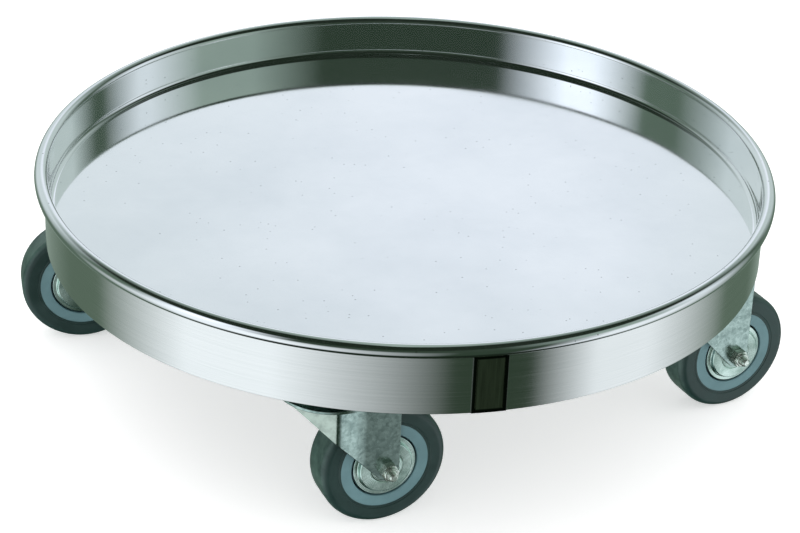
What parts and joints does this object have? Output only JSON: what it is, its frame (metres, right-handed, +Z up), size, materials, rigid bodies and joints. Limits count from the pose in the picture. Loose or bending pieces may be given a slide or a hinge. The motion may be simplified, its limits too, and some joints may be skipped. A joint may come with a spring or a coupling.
{
  "type": "drum dolly",
  "caption": "Round stainless-steel drum dolly: a polished tray with a rolled rim and a brushed skirt on swivel casters with rubber-tyred wheels.",
  "frame": {"origin": "on the floor, under the middle of the tray", "axes": "+Z up; the casters' swivel axes stand on the diagonals between +X and +Y"},
  "size_m": [0.61, 0.61, 0.1985],
  "materials": {
    "polished_steel": "polished stainless steel",
    "brushed_steel": "stainless steel, brushed round the band",
    "mirror_steel": "mirror-polished stainless steel",
    "frame_steel": "mill-finish stainless steel",
    "zinc_plate": "bright zinc plate with a mottled passivation",
    "zinc_fasteners": "bright zinc plate",
    "bright_steel": "ground bearing steel",
    "pressed_steel": "bright pressed steel",
    "hub_plastic": "moulded grey plastic, satin",
    "tyre_rubber": "dark grey non-marking rubber"
  },
  "bodies": {
    "tray": {"tray_pan": "polished_steel", "rim_wire": "bright_steel", "skirt_band": "brushed_steel", "joint_strap": "mirror_steel", "long_beam": "frame_steel", "short_beams": "frame_steel", "caster_pads": "frame_steel", "mounting_bolts": "zinc_fasteners", "mounting_washers": "zinc_fasteners", "mounting_nuts": "zinc_fasteners", "rear_right_top_plate": "zinc_plate", "rear_right_kingpin": "zinc_plate", "rear_right_lower_race": "zinc_plate", "rear_left_top_plate": "zinc_plate", "rear_left_kingpin": "zinc_plate", "rear_left_lower_race": "zinc_plate", "front_left_top_plate": "zinc_plate", "front_left_kingpin": "zinc_plate", "front_left_lower_race": "zinc_plate", "front_right_top_plate": "zinc_plate", "front_right_kingpin": "zinc_plate", "front_right_lower_race": "zinc_plate"},
    "rear_right_swivel": {"rear_right_fork": "zinc_plate", "rear_right_bearing_balls": "bright_steel", "rear_right_axle_bolt": "zinc_fasteners", "rear_right_axle_nut": "zinc_fasteners", "rear_right_axle_sleeve": "bright_steel", "rear_right_dust_covers": "pressed_steel"},
    "rear_right_wheel": {"rear_right_wheel_hub": "hub_plastic", "rear_right_wheel_bearings": "bright_steel", "rear_right_tyre": "tyre_rubber"},
    "rear_left_swivel": {"rear_left_fork": "zinc_plate", "rear_left_bearing_balls": "bright_steel", "rear_left_axle_bolt": "zinc_fasteners", "rear_left_axle_nut": "zinc_fasteners", "rear_left_axle_sleeve": "bright_steel", "rear_left_dust_covers": "pressed_steel"},
    "rear_left_wheel": {"rear_left_wheel_hub": "hub_plastic", "rear_left_wheel_bearings": "bright_steel", "rear_left_tyre": "tyre_rubber"},
    "front_left_swivel": {"front_left_fork": "zinc_plate", "front_left_bearing_balls": "bright_steel", "front_left_axle_bolt": "zinc_fasteners", "front_left_axle_nut": "zinc_fasteners", "front_left_axle_sleeve": "bright_steel", "front_left_dust_covers": "pressed_steel"},
    "front_left_wheel": {"front_left_wheel_hub": "hub_plastic", "front_left_wheel_bearings": "bright_steel", "front_left_tyre": "tyre_rubber"},
    "front_right_swivel": {"front_right_fork": "zinc_plate", "front_right_bearing_balls": "bright_steel", "front_right_axle_bolt": "zinc_fasteners", "front_right_axle_nut": "zinc_fasteners", "front_right_axle_sleeve": "bright_steel", "front_right_dust_covers": "pressed_steel"},
    "front_right_wheel": {"front_right_wheel_hub": "hub_plastic", "front_right_wheel_bearings": "bright_steel", "front_right_tyre": "tyre_rubber"}
  },
  "joints": [
    {"name": "rear_right_swivel_joint", "type": "hinge", "parent": "tray", "child": "rear_right_swivel", "pos_m": [0.17253, 0.17253, 0.1295], "axis": [0, 0, 1], "continuous": true},
    {"name": "rear_right_wheel_joint", "type": "hinge", "parent": "rear_right_swivel", "child": "rear_right_wheel", "pos_m": [0.21012, 0.18621, 0.052], "axis": [-0.342, 0.9397, 0], "continuous": true},
    {"name": "rear_left_swivel_joint", "type": "hinge", "parent": "tray", "child": "rear_left_swivel", "pos_m": [-0.17253, 0.17253, 0.1295], "axis": [0, 0, 1], "continuous": true},
    {"name": "rear_left_wheel_joint", "type": "hinge", "parent": "rear_left_swivel", "child": "rear_left_wheel", "pos_m": [-0.20988, 0.18687, 0.052], "axis": [-0.3584, -0.9336, 0], "continuous": true},
    {"name": "front_left_swivel_joint", "type": "hinge", "parent": "tray", "child": "front_left_swivel", "pos_m": [-0.17253, -0.17253, 0.1295], "axis": [0, 0, 1], "continuous": true},
    {"name": "front_left_wheel_joint", "type": "hinge", "parent": "front_left_swivel", "child": "front_left_wheel", "pos_m": [-0.13303, -0.17879, 0.052], "axis": [0.1564, 0.9877, 0], "continuous": true},
    {"name": "front_right_swivel_joint", "type": "hinge", "parent": "tray", "child": "front_right_swivel", "pos_m": [0.17253, -0.17253, 0.1295], "axis": [0, 0, 1], "continuous": true},
    {"name": "front_right_wheel_joint", "type": "hinge", "parent": "front_right_swivel", "child": "front_right_wheel", "pos_m": [0.21244, -0.17532, 0.052], "axis": [0.0698, 0.9976, 0], "continuous": true}
  ]
}
